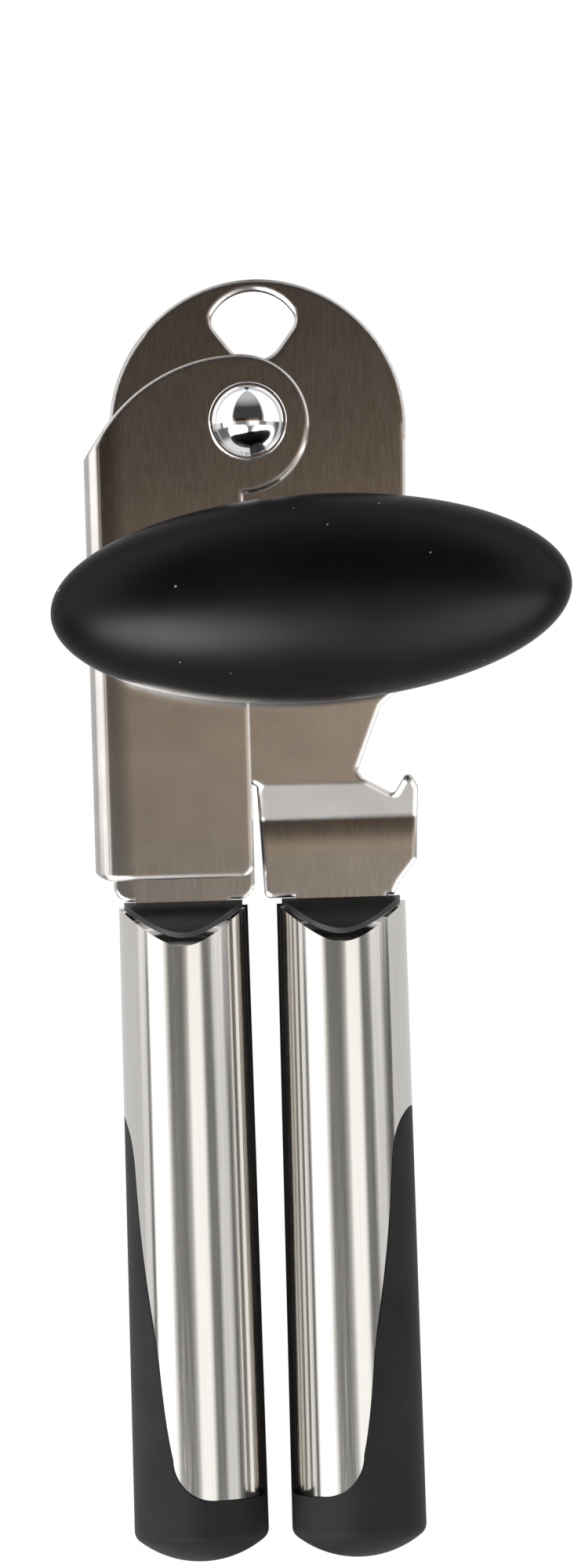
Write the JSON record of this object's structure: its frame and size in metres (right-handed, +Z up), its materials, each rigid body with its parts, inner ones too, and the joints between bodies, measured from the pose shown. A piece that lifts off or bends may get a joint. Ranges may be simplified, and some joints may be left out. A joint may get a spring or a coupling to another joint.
{
  "type": "manual can opener",
  "caption": "Hand-held can opener with two hinged steel levers, soft turning knob, cutter wheel, feed wheel, bottle opener notch and hanging hole.",
  "frame": {"origin": "centre of the bounding box at the surface the opener lies on", "axes": "+Y from the handles to the head, +Z up out of the knob, +X to the right seen from the knob side"},
  "size_m": [0.0806, 0.2026, 0.051],
  "materials": {
    "plate_steel": "satin rolled stainless sheet with stamped, rounded edges",
    "sleeve_steel": "polished stainless tube with a fine lengthwise brush",
    "rivet_chrome": "bright plated, turned and peened",
    "bearing_steel": "turned steel",
    "cutter_steel": "hardened steel, ground bevel",
    "feed_steel": "hardened sintered steel, stamped teeth",
    "shaft_steel": "turned and milled steel",
    "pin_steel": "drawn steel pin",
    "hard_plastic": "black moulded plastic",
    "knob_rubber": "black soft-touch elastomer, matte",
    "grip_rubber": "black soft-touch elastomer, matte"
  },
  "bodies": {
    "back_arm": {"back_lever": "plate_steel", "shaft_bearing": "bearing_steel", "right_handle_sleeve": "sleeve_steel", "right_handle_plug": "hard_plastic", "right_handle_core": "hard_plastic", "right_handle_grip": "grip_rubber", "right_tang_pin": "pin_steel"},
    "front_arm": {"front_lever": "plate_steel", "pivot_rivet": "rivet_chrome", "rivet_washer": "rivet_chrome", "pivot_spacers": "bearing_steel", "cutter_axle": "rivet_chrome", "cutter_washer": "bearing_steel", "cutter_spacer": "bearing_steel", "left_handle_sleeve": "sleeve_steel", "left_handle_plug": "hard_plastic", "left_handle_core": "hard_plastic", "left_handle_grip": "grip_rubber", "left_tang_pin": "pin_steel"},
    "cutter": {"cutter_wheel": "cutter_steel"},
    "drive": {"drive_shaft": "shaft_steel", "feed_wheel": "feed_steel", "feed_wheel_nut": "shaft_steel", "spring_washer": "bearing_steel", "knob_core": "hard_plastic", "knob_skin": "knob_rubber", "knob_pin": "pin_steel"}
  },
  "joints": [
    {"name": "lever_pivot", "type": "hinge", "parent": "back_arm", "child": "front_arm", "pos_m": [-0.0091, 0.0788, 0.013], "axis": [0, 0, -1], "range_deg": [0, 38]},
    {"name": "drive_spin", "type": "hinge", "parent": "back_arm", "child": "drive", "pos_m": [0, 0.0499, 0.013], "axis": [0, 0, 1], "continuous": true},
    {"name": "cutter_spin", "type": "hinge", "parent": "front_arm", "child": "cutter", "pos_m": [-0.0197, 0.05337, 0.00305], "axis": [0, 0, 1], "continuous": true}
  ]
}
